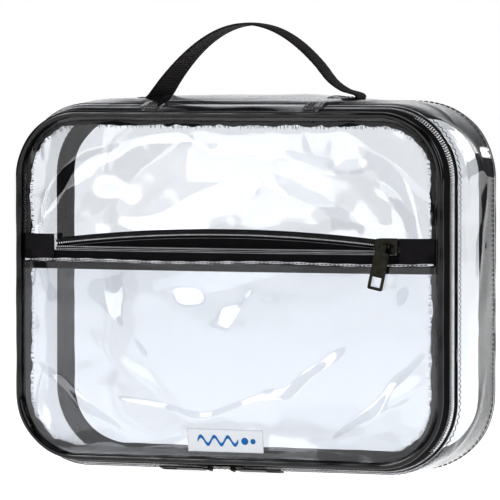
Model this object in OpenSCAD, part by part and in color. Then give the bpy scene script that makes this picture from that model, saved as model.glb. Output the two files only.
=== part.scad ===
// Clear zip-round make-up train case: flip-up front lid with a zipped pocket, and a webbing handle.
// X runs to the right, Y from the front to the back, Z up. The origin is the middle of the flat base.

/* [Case] */
// Outer width of the side band
case_w = 306; // [280:1:330]
// Outer height of the side band
case_h = 239; // [220:1:260]
// Depth from the front piping to the rear piping
case_d = 88; // [80:1:110]
// Corner radius of the side band's outline
corner_r = 49; // [45:1:56]
// How far the front frame is set in from the side band's outline
front_inset = 8; // [8:0.25:9]
// Thickness of the clear sheet
sheet_t = 0.8; // [0.6:0.1:0.8]

/* [Piping and binding] */
// Radius of the piping over its cover
piping_r = 2.3; // [2:0.1:2.3]
// Radius of the cord inside the piping
core_r = 1.5; // [1:0.1:1.6]
// Width of the woven binding behind the front seam
front_binding_w = 7.2; // [6:0.2:12]
// Width of each leg of the woven binding inside the rear seam
rear_binding_w = 8; // [6:0.5:10]

/* [Main zip] */
// Slope of the zip band between the front frame and the side band, degrees
band_slope = 15; // [14:0.5:16]
// Half the length of the hinge strip between the two zip ends
hinge_half = 60; // [50:1:80]
// Where the two closed sliders meet, along X
sliders_meet_x = -8; // [-20:1:20]

/* [Pocket] */
// Height of the pocket sheet's top edge
pocket_top_z = 137; // [130:1:142]
// Greatest space between the front panel and the pocket sheet
pocket_depth = 9; // [8.9:0.1:9.2]
// Half the length of the pocket zip's coils
pocket_zip_half = 118; // [112:1:118]
// How far the front coil bows forward in the middle
mouth_bow = 5.8; // [5.7:0.05:5.8]
// How far the rear coil bows up in the middle
rear_coil_rise = 7; // [5:0.5:9]
// Width of the sewn label
label_w = 52; // [40:1:60]
// Height of the sewn label
label_h = 15; // [10:1:18]

/* [Handle] */
// Width of the webbing
strap_w = 25; // [20:1:30]
// Thickness of the webbing
strap_t = 2; // [1.5:0.1:2]
// Half the distance between the strap's two feet
strap_half = 66; // [58:1:68]
// Height of the strap's middle line above the top of the case
strap_rise = 49.5; // [42:0.5:55]

/* [Pulls] */
// Sideways lean of the hanging pocket pull, degrees
pull_tilt = 12; // [0:1:14]
// Length of the pocket pull from its pivot
pocket_pull_l = 28; // [24:1:30]
// Length of each main pull from its pivot
main_pull_l = 34; // [20:1:34]

/* [Hidden] */
$fn = 64;

// Colours
clear_sheet = [0.88, 0.92, 0.95, 0.35];
gloss_black = [0.05, 0.05, 0.06];
woven_black = [0.10, 0.10, 0.11];
coil_black = [0.15, 0.15, 0.16];
gunmetal = [0.30, 0.29, 0.27];

// Front frame: the line through the middle of the front piping
front_y = -case_d / 2;
frame_w = case_w - 2 * front_inset;
frame_h = case_h - 2 * front_inset;
frame_r = corner_r - front_inset;
hair = 0.1;              // gap between pieces that lie on each other
tape_half_t = 0.35;      // half the thickness of a zip tape

// Rows of the main zip, measured down the slope of the band from the front piping's middle
lid_tape_start = 2.6;
lid_coil_start = 9.95;
chain_mid = 13.35;
coil_w = 2.9;
coil_half_t = 1;
row_gap = 1;             // space between the two rows, which the slider's wedge runs in
gusset_coil_start = chain_mid + row_gap / 2;
gusset_tape_start = gusset_coil_start + coil_w + hair / 2;
gusset_tape_end = 23.5;
gusset_edge = 18.5;      // front edge of the side band's sheet
zip_half = hinge_half + 2;

// Front panel and pocket, in Y and Z
panel_front_y = front_y + 1.4;
pocket_bottom_z = front_inset + piping_r + 0.2;
pocket_half_w = frame_w / 2 - piping_r - 0.2;
pocket_r = frame_r - piping_r - 0.2;
pocket_edge_gap = 0.15;
front_coil_z = 143.75;
front_coil_end_y = panel_front_y - 2.95;
rear_coil_end_z = 148;
rear_coil_y = panel_front_y - 2.45;
rear_tape_y = panel_front_y - 0.3;
pocket_tape_bottom_z = 130.5;
pocket_tape_t = 0.6;
rear_tape_t = 0.45;       // the rear tape lies flat on the front panel
pocket_coil_t = 2;

// Slider of the pocket zip
pocket_slider_x = 110;
pocket_slider_z = 148;
pocket_pivot_y = panel_front_y - 9.45;

// Sliders of the main zip, in the band's own frame
slider_l = 15;
main_pivot_v = 3;
slider_end_gap = 0.4;

// Handle
strap_foot_z = case_h + 1;

// A point of the sloped zip band in a sweep's profile: u down the slope, v out of the case
function band_point(u, v) = [
    u * sin(band_slope) + v * cos(band_slope),
    v * sin(band_slope) - u * cos(band_slope)
];

// Sweeps a profile round the front frame's path: profile x is outwards, profile y is forwards
module sweep_frame() {
    half = [frame_w / 2 - frame_r, frame_h / 2 - frame_r];
    translate([0, front_y, case_h / 2])
    rotate([90, 0, 0]) {
        for (side = [-1, 1]) {
            rotate(90 - 90 * side)
            translate([frame_w / 2, 0, 0])
            rotate([90, 0, 0])
            linear_extrude(2 * half[1], center = true)
            children();

            rotate(90 * side)
            translate([frame_h / 2, 0, 0])
            rotate([90, 0, 0])
            linear_extrude(2 * half[0], center = true)
            children();
        }
        for (corner = [[1, 1, 0], [-1, 1, 90], [-1, -1, 180], [1, -1, 270]])
            translate([corner[0] * half[0], corner[1] * half[1], 0])
            rotate(corner[2])
            rotate_extrude(angle = 90)
            translate([frame_r, 0])
            children();
    }
}

// A rectangle in the sloped band's profile
module band_rect(u0, u1, v0, v1) {
    polygon([band_point(u0, v0), band_point(u1, v0), band_point(u1, v1), band_point(u0, v1)]);
}

// Cuts the stretch between the two zip ends out of a ring
module without_hinge_stretch() {
    difference() {
        children();
        translate([-zip_half, -case_d, case_h / 2])
        cube([2 * zip_half, 2 * case_d, case_h]);
    }
}

// A flat sheet with rounded corners, set out from the front frame's path by outset
module frame_sheet(outset, y0, thickness) {
    w = frame_w + 2 * outset;
    h = frame_h + 2 * outset;
    r = frame_r + outset;
    translate([0, y0 + thickness, case_h / 2])
    rotate([90, 0, 0])
    union() {
        linear_extrude(thickness)
        square([w - 2 * r, h], center = true);
        linear_extrude(thickness)
        square([w, h - 2 * r], center = true);
        for (i = [-1, 1], j = [-1, 1])
            translate([i * (w / 2 - r), j * (h / 2 - r), 0])
            cylinder(r = r, h = thickness);
    }
}

// Radius of the circle whose arc spans 2 * half and stands rise above its ends
function bow_radius(half, rise) = (half * half + rise * rise) / (2 * rise);

// A bar that follows a circle's arc between -half and half; it bows towards +Y
module bowed_bar(half, rise, width, height) {
    radius = bow_radius(half, rise);
    translate([0, rise - radius, 0])
    intersection() {
        difference() {
            cylinder(r = radius + width / 2, h = height, $fn = 180);
            translate([0, 0, -1])
            cylinder(r = radius - width / 2, h = height + 2, $fn = 180);
        }
        translate([-half, radius - 2 * rise, -1])
        cube([2 * half, 3 * rise, height + 2]);
    }
}

// ---- Case body ----

module back_panel() {
    color(clear_sheet)
    frame_sheet(front_inset - piping_r - 1.9, front_y + case_d - piping_r, sheet_t);
}

module gusset() {
    inner_v = tape_half_t + hair / 2;
    outer_v = inner_v + sheet_t;
    outer_o = front_inset;
    inner_o = front_inset - sheet_t;
    outer_u = (outer_o - outer_v * cos(band_slope)) / sin(band_slope);
    inner_u = (inner_o - inner_v * cos(band_slope)) / sin(band_slope);
    rear_f = 1.8 - case_d;
    color(clear_sheet)
    sweep_frame()
    polygon([
        band_point(gusset_edge, outer_v),
        band_point(outer_u, outer_v),
        [outer_o, rear_f],
        [inner_o, rear_f],
        band_point(inner_u, inner_v),
        band_point(gusset_edge, inner_v)
    ]);
}

module hinge_strip() {
    inner_v = tape_half_t + hair / 2;
    color(clear_sheet)
    translate([-hinge_half, front_y, case_h - front_inset])
    rotate([90, 0, 90])
    linear_extrude(2 * hinge_half)
    rotate(band_slope)
    translate([lid_tape_start + 0.3, inner_v])
    square([gusset_edge - lid_tape_start - 0.4, sheet_t]);
}

// Ring of the rear piping: its outside is level with the side band
module rear_ring() {
    sweep_frame()
    translate([front_inset - piping_r, -case_d])
    children();
}

module rear_piping() {
    color(gloss_black)
    rear_ring()
    difference() {
        circle(piping_r);
        circle(core_r);
    }
}

module rear_piping_core() {
    color(woven_black)
    rear_ring()
    circle(core_r - hair / 2);
}

module rear_binding() {
    inner_o = front_inset - sheet_t - hair;
    back_f = piping_r + hair - case_d;
    color(woven_black)
    sweep_frame()
    polygon([
        [inner_o, back_f],
        [inner_o, back_f + rear_binding_w],
        [inner_o - sheet_t, back_f + rear_binding_w],
        [inner_o - sheet_t, back_f + sheet_t],
        [inner_o - rear_binding_w - 2, back_f + sheet_t],
        [inner_o - rear_binding_w - 2, back_f]
    ]);
}

module gusset_zip_tape() {
    color(woven_black)
    without_hinge_stretch()
    sweep_frame()
    band_rect(gusset_tape_start, gusset_tape_end, -tape_half_t, tape_half_t);
}

module gusset_zip_coil() {
    color(coil_black)
    without_hinge_stretch()
    sweep_frame()
    band_rect(gusset_coil_start, gusset_coil_start + coil_w, -coil_half_t, coil_half_t);
}

// Thick glossy tab from a zip end towards the middle; side is -1 for the left, 1 for the right
module zip_end_tab(side) {
    tab_w = 13;
    tab_l = 13;
    tab_t = 2.6;
    tab_start = chain_mid - tab_l / 2 - 0.35;
    color(gloss_black)
    translate([side * (zip_half - tab_w / 2 + 0.5), front_y, case_h - front_inset])
    rotate([90, 0, 90])
    rotate(band_slope)
    translate([tab_start, coil_half_t + sheet_t / 2, -tab_w / 2])
    cube([tab_l, tab_t, tab_w]);
}

// Flat end of the webbing, under the clear top and sewn to it
module handle_anchor(side) {
    anchor_t = 1.6;
    color(woven_black)
    translate([side * strap_half, 0, case_h - sheet_t - hair - anchor_t / 2])
    cube([strap_w, strap_w, anchor_t], center = true);
}

// ---- Handle ----

strap_steps = 32;
strap_twist_power = 4;   // how late the twist comes on the way to a foot

// The strap's middle line is a parabola; t runs from -1 at the left foot to 1 at the right foot
function strap_mid(t) = [strap_half * t, 0, strap_foot_z + strap_rise * (1 - t * t)];

// The webbing lies flat across Y at the top and turns to lie along X at its feet
function strap_turn(t) = 90 * pow(abs(t), strap_twist_power);
function strap_across(t) = [sin(strap_turn(t)), cos(strap_turn(t)), 0];
function strap_along(t) = let (v = [strap_half, 0, -2 * strap_rise * t]) v / norm(v);
function strap_normal(t) = let (v = cross(strap_across(t), strap_along(t))) v / norm(v);
function strap_ring(t) = [
    for (c = [[-1, -1], [1, -1], [1, 1], [-1, 1]])
        strap_mid(t) + c[0] * strap_w / 2 * strap_across(t) + c[1] * strap_t / 2 * strap_normal(t)
];

module handle_strap() {
    points = [for (i = [0:strap_steps]) each strap_ring(2 * i / strap_steps - 1)];
    last = 4 * strap_steps;
    walls = [
        for (i = [0:strap_steps - 1], k = [0:3])
            let (a = 4 * i + k, b = 4 * i + (k + 1) % 4)
                each [[a, a + 4, b], [b, a + 4, b + 4]]
    ];
    ends = [[0, 1, 2], [0, 2, 3], [last, last + 2, last + 1], [last, last + 3, last + 2]];
    color(woven_black)
    polyhedron(points, concat(walls, ends));
}

// ---- Lid ----

module front_panel() {
    color(clear_sheet)
    frame_sheet(-1.9, panel_front_y, sheet_t);
}

module front_piping() {
    color(gloss_black)
    sweep_frame()
    difference() {
        circle(piping_r);
        circle(core_r);
    }
}

module front_piping_core() {
    color(woven_black)
    sweep_frame()
    circle(core_r - hair / 2);
}

module front_binding() {
    binding_back = 3.2;
    binding_front = 1.4 + sheet_t + hair;
    color(woven_black)
    sweep_frame()
    translate([0.2 - front_binding_w, -binding_back])
    square([front_binding_w, binding_back - binding_front]);
}

module lid_zip_tape() {
    color(woven_black)
    without_hinge_stretch()
    sweep_frame()
    band_rect(lid_tape_start, lid_coil_start - hair / 2, -tape_half_t, tape_half_t);
}

module lid_zip_coil() {
    color(coil_black)
    without_hinge_stretch()
    sweep_frame()
    band_rect(lid_coil_start, lid_coil_start + coil_w, -coil_half_t, coil_half_t);
}

// ---- Front pocket ----

// Half width of the pocket sheet at a height: its lower corners are round
function pocket_half(z) =
    let (drop = max(0, pocket_bottom_z + pocket_r - z))
        pocket_half_w - pocket_r + sqrt(max(0, pocket_r * pocket_r - drop * drop));

// Space between the front panel and the pocket sheet
function pocket_gap(x, z) =
    let (
        across = 1 - pow(abs(x) / pocket_half(z), 4),
        up = (z - pocket_bottom_z) / (pocket_top_z - pocket_bottom_z)
    )
        pocket_edge_gap + pocket_depth * max(0, across) * (1 - pow(1 - up, 2.6));

// A closed sheet between two grids of points: rows by columns, front and back
module grid_sheet(front, back, rows, cols) {
    n = cols + 1;
    off = (rows + 1) * n;
    quads = [
        for (i = [0:rows - 1], j = [0:cols - 1])
            let (a = i * n + j, b = a + 1, c = a + n, d = c + 1)
                each [[a, c, b], [b, c, d], [off + a, off + b, off + c], [off + b, off + d, off + c]]
    ];
    sides = [
        for (i = [0:rows - 1])
            let (a = i * n, c = a + n, b = a + cols, d = b + n)
                each [[a, off + a, c], [c, off + a, off + c], [b, d, off + b], [d, off + d, off + b]]
    ];
    rims = [
        for (j = [0:cols - 1])
            let (a = j, b = j + 1, c = rows * n + j, d = c + 1)
                each [[a, b, off + a], [b, off + b, off + a], [c, off + c, d], [d, off + c, off + d]]
    ];
    polyhedron(concat(front, back), concat(quads, sides, rims));
}

module pocket_panel() {
    rows = 16;
    cols = 24;
    // rows lie closer together at the bottom, where the corners turn
    heights = [
        for (i = [0:rows])
            pocket_bottom_z + (pocket_top_z - pocket_bottom_z) * pow(i / rows, 1.7)
    ];
    function spot(z, j, depth) =
        let (x = max(pocket_half(z), 1) * (2 * j / cols - 1))
            [x, panel_front_y - pocket_gap(x, z) - depth, z];
    color(clear_sheet)
    grid_sheet(
        [for (z = heights, j = [0:cols]) spot(z, j, sheet_t)],
        [for (z = heights, j = [0:cols]) spot(z, j, 0)],
        rows, cols
    );
}

module label() {
    rows = 4;
    cols = 10;
    label_t = 0.4;
    label_bottom_z = 14;
    function spot(i, j, depth) =
        let (
            x = label_w * (j / cols - 0.5),
            z = label_bottom_z + label_h * i / rows
        )
            [x, panel_front_y - pocket_gap(x, z) - sheet_t - hair - depth, z];
    color("white")
    grid_sheet(
        [for (i = [0:rows], j = [0:cols]) spot(i, j, label_t)],
        [for (i = [0:rows], j = [0:cols]) spot(i, j, 0)],
        rows, cols
    );
}

// A bowed row of the front side of the pocket mouth
module pocket_front_row(z0, width, height) {
    translate([0, front_coil_end_y, z0])
    mirror([0, 1, 0])
    bowed_bar(pocket_zip_half, mouth_bow, width, height);
}

module pocket_front_tape() {
    color(woven_black)
    pocket_front_row(
        pocket_tape_bottom_z, pocket_tape_t,
        front_coil_z - coil_w / 2 - hair / 2 - pocket_tape_bottom_z
    );
}

module pocket_front_coil() {
    color(coil_black)
    pocket_front_row(front_coil_z - coil_w / 2, pocket_coil_t, coil_w);
}

module pocket_rear_coil() {
    color(coil_black)
    translate([0, rear_coil_y + pocket_coil_t / 2, rear_coil_end_z])
    rotate([90, 0, 0])
    bowed_bar(pocket_zip_half, rear_coil_rise, coil_w, pocket_coil_t);
}

module pocket_rear_tape() {
    radius = bow_radius(pocket_zip_half, rear_coil_rise);
    color(woven_black)
    intersection() {
        translate([0, rear_tape_y + rear_tape_t / 2, rear_coil_end_z + rear_coil_rise - radius])
        rotate([90, 0, 0])
        cylinder(r = radius - coil_w / 2 - hair / 2, h = rear_tape_t, $fn = 180);
        translate([-pocket_zip_half, rear_tape_y - rear_tape_t, pocket_tape_bottom_z + 2])
        cube([2 * pocket_zip_half, 2 * rear_tape_t, pocket_slider_z]);
    }
}

// Woven tab over a pocket zip end: it runs from the coils out and back to the panel's edge
module pocket_zip_tab(side) {
    inner_x = pocket_zip_half + 0.6;
    knee_x = pocket_zip_half + 8;
    outer_x = frame_w / 2 - piping_r - 1.5;
    tab_y = panel_front_y - 5;
    edge_y = panel_front_y - 0.2;
    tab_h = 15.5;
    tab_t = 0.8;
    color(woven_black)
    translate([0, 0, pocket_top_z + 0.5])
    scale([side, 1, 1])
    linear_extrude(tab_h)
    polygon([
        [inner_x, tab_y],
        [knee_x, tab_y],
        [outer_x, edge_y],
        [outer_x, edge_y - tab_t],
        [knee_x, tab_y - tab_t],
        [inner_x, tab_y - tab_t]
    ]);
}

// ---- Sliders and pulls ----

// Plate with round ends, length along X, width along Y, lying on z = 0
module round_plate(length, width, thickness, r) {
    union() {
        translate([-length / 2 + r, -width / 2, 0])
        cube([length - 2 * r, width, thickness]);
        translate([-length / 2, -width / 2 + r, 0])
        cube([length, width - 2 * r, thickness]);
        for (i = [-1, 1], j = [-1, 1])
            translate([i * (length / 2 - r), j * (width / 2 - r), 0])
            cylinder(r = r, h = thickness, $fn = 32);
    }
}

// Two lugs with the bar that a pull turns on; the bar runs along X at height z
module pull_bridge(z, base_z, bar_r, inner_half) {
    lug_t = 0.9;
    lug_r = bar_r + 0.35;
    for (side = [-1, 1])
        translate([side * (inner_half + lug_t / 2) - lug_t / 2, 0, 0]) {
            translate([0, -lug_r, base_z])
            cube([lug_t, 2 * lug_r, z - base_z]);
            translate([0, 0, z])
            rotate([0, 90, 0])
            cylinder(r = lug_r, h = lug_t, $fn = 32);
        }
    translate([-inner_half - lug_t / 2, 0, z])
    rotate([0, 90, 0])
    cylinder(r = bar_r, h = 2 * inner_half + lug_t, $fn = 32);
}

// Outline of a pull: a neck, a plate and an open loop, running down -Y from the pivot
module pull_plate(length, width, thickness) {
    neck_w = 0.4 * width;
    neck_l = 3.6;
    loop_l = 0.36 * length;
    rim = 0.18 * width;
    difference() {
        union() {
            translate([-neck_w / 2, -neck_l - 1, 0])
            cube([neck_w, neck_l + 1, thickness]);
            translate([0, -(length + neck_l) / 2, 0])
            rotate(90)
            round_plate(length - neck_l, width, thickness, 1.2);
        }
        translate([-width / 2 + rim, rim - length, -1])
        cube([width - 2 * rim, loop_l - 2 * rim, thickness + 2]);
    }
}

// Barrel of a pull round its bar, along X
module pull_barrel(outer_r, inner_r, length) {
    rotate([0, 90, 0])
    difference() {
        cylinder(r = outer_r, h = length, center = true, $fn = 32);
        cylinder(r = inner_r, h = length + 2, center = true, $fn = 32);
    }
}

module pocket_slider() {
    plate_t = 0.7;
    width = 10;
    front_plate_y = panel_front_y - 6.25;
    rear_plate_y = rear_tape_y - rear_tape_t / 2 - hair;
    wedge_l = 5;
    wedge_t = 0.8;
    wedge_z = front_coil_z + coil_w / 2 + 0.25;
    color(gunmetal)
    union() {
        for (y = [front_plate_y + plate_t, rear_plate_y])
            translate([pocket_slider_x, y, pocket_slider_z])
            rotate([90, 0, 0])
            round_plate(slider_l, width, plate_t, 2.5);
        translate([pocket_slider_x - wedge_l / 2, front_plate_y + plate_t / 2, wedge_z])
        cube([wedge_l, rear_plate_y - front_plate_y - plate_t, wedge_t]);
        translate([pocket_slider_x, 0, pocket_slider_z])
        rotate([90, 0, 0])
        pull_bridge(-pocket_pivot_y, -front_plate_y - plate_t / 2, 0.7, 3);
    }
}

module pocket_pull() {
    barrel_r = 1.75;
    plate_t = 0.85;
    color(gunmetal)
    translate([pocket_slider_x, pocket_pivot_y, pocket_slider_z])
    union() {
        pull_barrel(barrel_r, 0.85, 4);
        difference() {
            rotate([0, pull_tilt, 0])
            translate([0, -barrel_r + plate_t - 0.05, 0])
            rotate([90, 0, 0])
            pull_plate(pocket_pull_l, 10, plate_t);
            rotate([0, 90, 0])
            cylinder(r = 0.85, h = 20, center = true, $fn = 32);
        }
    }
}

// Places a piece on the zip chain under the case: z out of the case, y to the rear, x to the left
module on_bottom_band(x) {
    mid = band_point(chain_mid, 0);
    translate([x, front_y - mid[1], front_inset - mid[0]])
    rotate([-band_slope, 0, 0])
    rotate([0, 180, 0])
    children();
}

// Slider with its mouth at x = 0 and its body along +X; the bar for the pull is across it
module main_slider() {
    plate_t = 0.65;
    width = 8.8;
    inside = coil_half_t + hair;
    flange_w = 0.7;
    flange_t = 0.5;
    wedge_l = 4;
    wedge_t = 0.8;
    mid_x = slider_l / 2 + slider_end_gap;
    for (side = [-1, 1])
        translate([mid_x, 0, side > 0 ? inside : -inside - plate_t])
        round_plate(slider_l, width, plate_t, 2);
    for (side = [-1, 1], face = [-1, 1])
        translate([mid_x, side * (width - flange_w) / 2, face * (inside - 0.2)])
        cube([slider_l - 5, flange_w, flange_t], center = true);
    translate([mid_x - wedge_l - 1, -wedge_t / 2, -inside - plate_t / 2])
    cube([wedge_l, wedge_t, 2 * inside + plate_t]);
    translate([mid_x, 0, 0])
    rotate(90)
    pull_bridge(main_pivot_v, inside + plate_t / 2, 0.5, 2.2);
}

module main_pull() {
    barrel_r = 1.1;
    plate_t = 0.85;
    mid_x = slider_l / 2 + slider_end_gap;
    translate([mid_x, 0, main_pivot_v])
    union() {
        rotate(90)
        pull_barrel(barrel_r, 0.62, 3.6);
        difference() {
            rotate(90)
            translate([0, 0, -plate_t / 2])
            pull_plate(main_pull_l, 8, plate_t);
            rotate([90, 0, 0])
            cylinder(r = 0.62, h = 20, center = true, $fn = 32);
        }
    }
}

module main_slider_left() {
    color(gunmetal)
    on_bottom_band(sliders_meet_x)
    main_slider();
}

module main_slider_right() {
    color(gunmetal)
    on_bottom_band(sliders_meet_x)
    mirror([1, 0, 0])
    main_slider();
}

module main_pull_left() {
    color(gunmetal)
    on_bottom_band(sliders_meet_x)
    main_pull();
}

module main_pull_right() {
    color(gunmetal)
    on_bottom_band(sliders_meet_x)
    mirror([1, 0, 0])
    main_pull();
}

back_panel();
gusset();
hinge_strip();
rear_piping();
rear_piping_core();
rear_binding();
gusset_zip_tape();
gusset_zip_coil();
zip_end_tab(-1);  // zip_end_tab_left
zip_end_tab(1);  // zip_end_tab_right
handle_anchor(-1);  // handle_anchor_left
handle_anchor(1);  // handle_anchor_right
handle_strap();
front_panel();
front_piping();
front_piping_core();
front_binding();
lid_zip_tape();
lid_zip_coil();
pocket_panel();
pocket_front_tape();
pocket_front_coil();
pocket_rear_tape();
pocket_rear_coil();
pocket_zip_tab(-1);  // pocket_zip_tab_left
pocket_zip_tab(1);  // pocket_zip_tab_right
label();
pocket_slider();
pocket_pull();
main_slider_left();
main_slider_right();
main_pull_left();
main_pull_right();
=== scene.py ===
"""The looks of a clear zip-round make-up case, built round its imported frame.

Lengths are in metres, in the frame's own axes: +X right, +Y back, +Z up. MM turns millimetres into metres.
"""

import math
import random

import bmesh
import bpy
import numpy as np
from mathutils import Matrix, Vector, noise


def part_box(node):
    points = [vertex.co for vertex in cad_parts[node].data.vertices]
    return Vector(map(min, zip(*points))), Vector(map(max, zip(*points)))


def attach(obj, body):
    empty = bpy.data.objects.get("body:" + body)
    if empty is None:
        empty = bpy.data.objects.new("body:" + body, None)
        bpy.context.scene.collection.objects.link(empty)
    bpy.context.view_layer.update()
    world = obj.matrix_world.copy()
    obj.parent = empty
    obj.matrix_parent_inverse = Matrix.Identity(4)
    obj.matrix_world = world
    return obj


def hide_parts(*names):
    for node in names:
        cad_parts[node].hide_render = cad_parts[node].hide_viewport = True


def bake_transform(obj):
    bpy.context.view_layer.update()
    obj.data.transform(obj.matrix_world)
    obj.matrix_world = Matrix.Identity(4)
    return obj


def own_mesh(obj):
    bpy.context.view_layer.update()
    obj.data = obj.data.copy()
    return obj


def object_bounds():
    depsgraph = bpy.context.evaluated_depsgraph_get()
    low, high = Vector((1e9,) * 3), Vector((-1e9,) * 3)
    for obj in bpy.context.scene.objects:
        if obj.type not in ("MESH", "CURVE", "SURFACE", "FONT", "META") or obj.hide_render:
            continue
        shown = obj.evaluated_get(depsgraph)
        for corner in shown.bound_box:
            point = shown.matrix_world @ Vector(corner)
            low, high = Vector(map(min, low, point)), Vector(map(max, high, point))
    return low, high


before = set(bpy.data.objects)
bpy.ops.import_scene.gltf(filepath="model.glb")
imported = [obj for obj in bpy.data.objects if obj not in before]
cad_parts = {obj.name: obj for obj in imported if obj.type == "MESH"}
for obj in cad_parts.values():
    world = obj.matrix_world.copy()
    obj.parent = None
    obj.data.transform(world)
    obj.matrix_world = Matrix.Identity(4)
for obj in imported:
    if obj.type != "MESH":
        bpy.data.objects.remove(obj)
cad_low, cad_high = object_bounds()
scene = bpy.context.scene

MM = 0.001

# ---- Measures, worked out from the frame ----

PIPE_R = 2.3 * MM
SLOPE = math.radians(15)
SHEET_T = 0.45 * MM

pipe_low, pipe_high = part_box("front_piping")
rear_low, rear_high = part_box("rear_piping")
gusset_low, gusset_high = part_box("gusset")
panel_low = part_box("front_panel")[0]
back_low, back_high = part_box("back_panel")
pocket_low, pocket_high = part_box("pocket_panel")
hinge_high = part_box("hinge_strip")[1]

FRONT_Y = (pipe_low.y + pipe_high.y) / 2
REAR_Y = (rear_low.y + rear_high.y) / 2
MID_Z = (pipe_low.z + pipe_high.z) / 2
FRAME_W = pipe_high.x - pipe_low.x - 2 * PIPE_R
FRAME_H = pipe_high.z - pipe_low.z - 2 * PIPE_R
INSET = (gusset_high.x - gusset_low.x - FRAME_W) / 2
FRAME_R = 41 * MM
HINGE_HALF = hinge_high.x
ZIP_HALF = HINGE_HALF + 2 * MM
PANEL_Y = panel_low.y

# Rows of the main zip, down the slope of the band from the front piping's middle
LID_TAPE = (2.6 * MM, 9.9 * MM)
LID_COIL = 11.4 * MM
GUSSET_COIL = 15.3 * MM
GUSSET_TAPE = (16.8 * MM, 19.6 * MM)
GUSSET_EDGE = 18.5 * MM
COIL_HALF_W = 1.45 * MM
COIL_PITCH = 1.6 * MM
WIRE_R = 0.34 * MM

# Pocket
POCKET_TOP = pocket_high.z
POCKET_BOTTOM = pocket_low.z
POCKET_HALF = pocket_high.x
POCKET_R = FRAME_R - PIPE_R - 0.2 * MM
POCKET_DEPTH = 9 * MM
front_coil_low, front_coil_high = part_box("pocket_front_coil")
rear_coil_low, rear_coil_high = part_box("pocket_rear_coil")
front_tape_low, front_tape_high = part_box("pocket_front_tape")
rear_tape_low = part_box("pocket_rear_tape")[0]
POCKET_ZIP_HALF = front_coil_high.x
FRONT_COIL_Z = (front_coil_low.z + front_coil_high.z) / 2
MOUTH_BOW = front_coil_high.y - front_coil_low.y - 2 * MM
MOUTH_END_Y = front_coil_high.y - 1 * MM
REAR_RISE = rear_coil_high.z - rear_coil_low.z - 2 * COIL_HALF_W
REAR_COIL_END_Z = rear_coil_low.z + COIL_HALF_W
REAR_COIL_Y = (rear_coil_low.y + rear_coil_high.y) / 2

# Handle
anchor_low, anchor_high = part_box("handle_anchor_right")
FOOT_X = (anchor_low.x + anchor_high.x) / 2
STRAP_W = 25 * MM
STRAP_T = 1.5 * MM
RIB_PITCH = 2.1 * MM
TOP_Z = gusset_high.z

# ---- The front frame's line, and places on it ----


def grid(*parts):
    """Points whose coordinates are numbers or arrays that fit together."""
    return np.stack(np.broadcast_arrays(*parts), axis=-1)


class Ring:
    """A rectangle with round corners, walked clockwise from its top middle as seen from the front."""

    def __init__(self, width, height, radius):
        self.radius = radius
        a = width / 2 - radius
        b = height / 2 - radius
        quarter = math.pi / 2 * radius
        self.runs = np.array([a, quarter, 2 * b, quarter, 2 * a, quarter, 2 * b, quarter, a])
        self.ends = np.cumsum(self.runs)
        self.length = self.ends[-1]
        corners = [(a, b), (a, -b), (-a, -b), (-a, b)]
        self.starts = np.array([(0, b), *np.repeat(corners, 2, axis=0)])
        self.moves = np.array([(1, 0), (0, 0), (0, -1), (0, 0), (-1, 0), (0, 0), (0, 1), (0, 0), (1, 0)])
        self.headings = np.array([0, 0, 1, 1, 2, 2, 3, 3, 4]) * math.pi / 2
        self.bends = np.array([0, 1, 0, 1, 0, 1, 0, 1, 0]) / radius

    def place(self, s, out, y):
        """Points at arc length s, set out from the line by out, at depth y."""
        s = np.asarray(s, float) % self.length
        k = np.searchsorted(self.ends, s, side="right").clip(0, 8)
        along = s - (self.ends[k] - self.runs[k])
        heading = self.headings[k] + along * self.bends[k]
        middle = self.starts[k] + self.moves[k] * along[..., None]
        reach = self.radius + np.asarray(out, float)
        x = middle[..., 0] + reach * np.sin(heading)
        z = middle[..., 1] + reach * np.cos(heading) + MID_Z
        return grid(x, y, z)


RING = Ring(FRAME_W, FRAME_H, FRAME_R)
ZIP_START = ZIP_HALF
ZIP_END = RING.length - ZIP_HALF


def on_band(s, u, v):
    """A point of the sloped zip band: u down its slope from the piping, v out of the case."""
    out = u * math.sin(SLOPE) + v * math.cos(SLOPE)
    y = FRONT_Y + u * math.cos(SLOPE) - v * math.sin(SLOPE)
    return RING.place(s, out, y)


def steps(start, end, size):
    """Even places from start to end, about size apart."""
    return np.linspace(start, end, max(2, int(round((end - start) / size)) + 1))


def wobble(points, scale, seed=0.0):
    """Smooth noise from -1 to 1 at each point; scale is one over its size in metres."""
    flat = points.reshape(-1, 3)
    shift = Vector((seed, seed * 1.7, -seed))
    values = [noise.noise(Vector(p) * scale + shift) for p in flat]
    return np.array(values).reshape(points.shape[:-1])


# ---- Mesh building ----


def new_object(name, points, faces, material, uv=None):
    mesh = bpy.data.meshes.new(name)
    mesh.from_pydata([tuple(p) for p in points], [], faces)
    if uv is not None:
        layer = mesh.uv_layers.new(name="UVMap")
        corners = np.zeros(len(mesh.loops), np.int32)
        mesh.loops.foreach_get("vertex_index", corners)
        layer.data.foreach_set("uv", np.asarray(uv, np.float32)[corners].ravel())
    build = bmesh.new()
    build.from_mesh(mesh)
    bmesh.ops.recalc_face_normals(build, faces=build.faces)
    build.to_mesh(mesh)
    build.free()
    mesh.polygons.foreach_set("use_smooth", [True] * len(mesh.polygons))
    mesh.materials.append(material)
    obj = bpy.data.objects.new(name, mesh)
    scene.collection.objects.link(obj)
    return obj


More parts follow.
